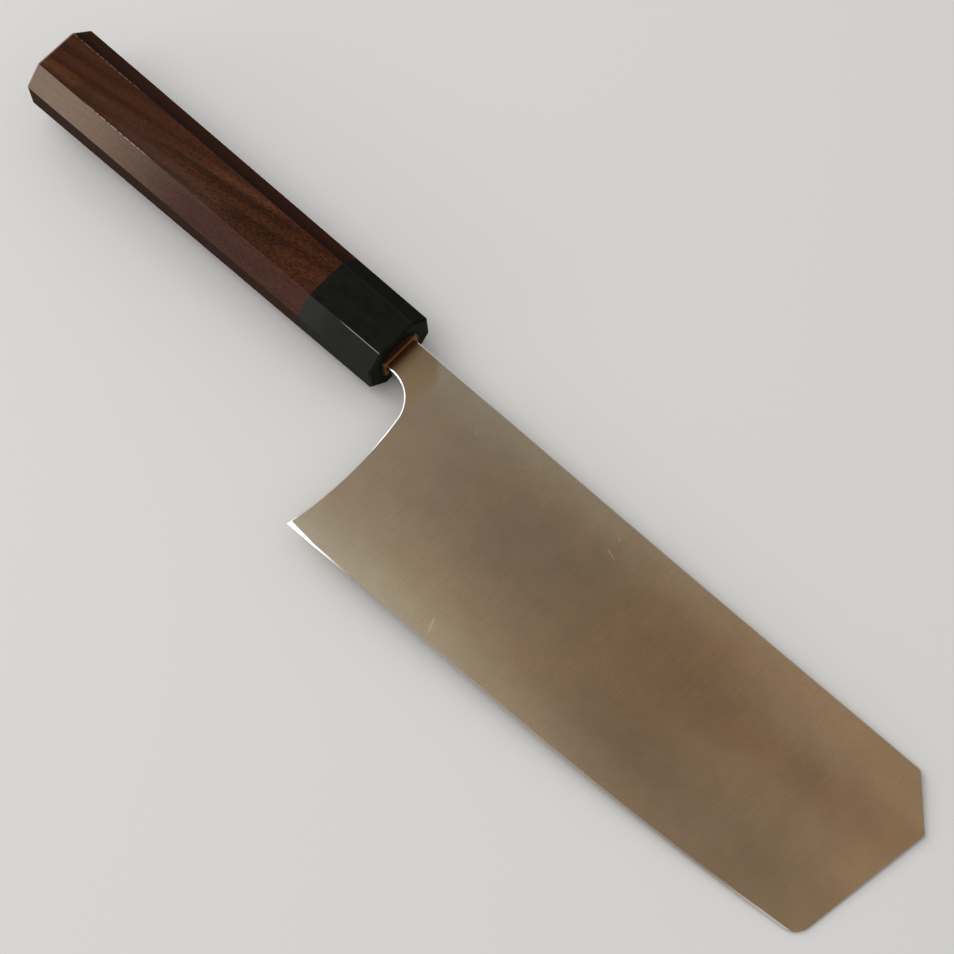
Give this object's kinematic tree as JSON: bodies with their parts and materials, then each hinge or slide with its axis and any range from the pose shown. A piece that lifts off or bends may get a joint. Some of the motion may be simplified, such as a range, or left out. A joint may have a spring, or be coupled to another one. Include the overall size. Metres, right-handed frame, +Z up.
{
  "type": "nakiri knife",
  "caption": "Nakiri knife with a clipped nose: broad flat steel blade on a hidden tang, in an octagonal wooden handle with a dark ferrule round a light wood core.",
  "frame": {"origin": "centre of the part's bounding box in plan, on the table that the knife lies on", "axes": "+X from the butt of the handle towards the nose of the blade, +Y towards the blade's spine, +Z up from the table, out of the blade's right side"},
  "size_m": [0.3151, 0.066, 0.0241],
  "materials": {
    "blade_steel": "fine satin, brushed across the blade",
    "dark_horn": "smooth, slightly glossy",
    "handle_wood": "sanded and oiled, straight grain along the handle",
    "core_wood": "sanded end grain, darkened by glue round the neck"
  },
  "bodies": {
    "root": {"blade": "blade_steel", "ferrule": "dark_horn", "handle": "handle_wood", "core_dowel": "core_wood"}
  },
  "joints": []
}
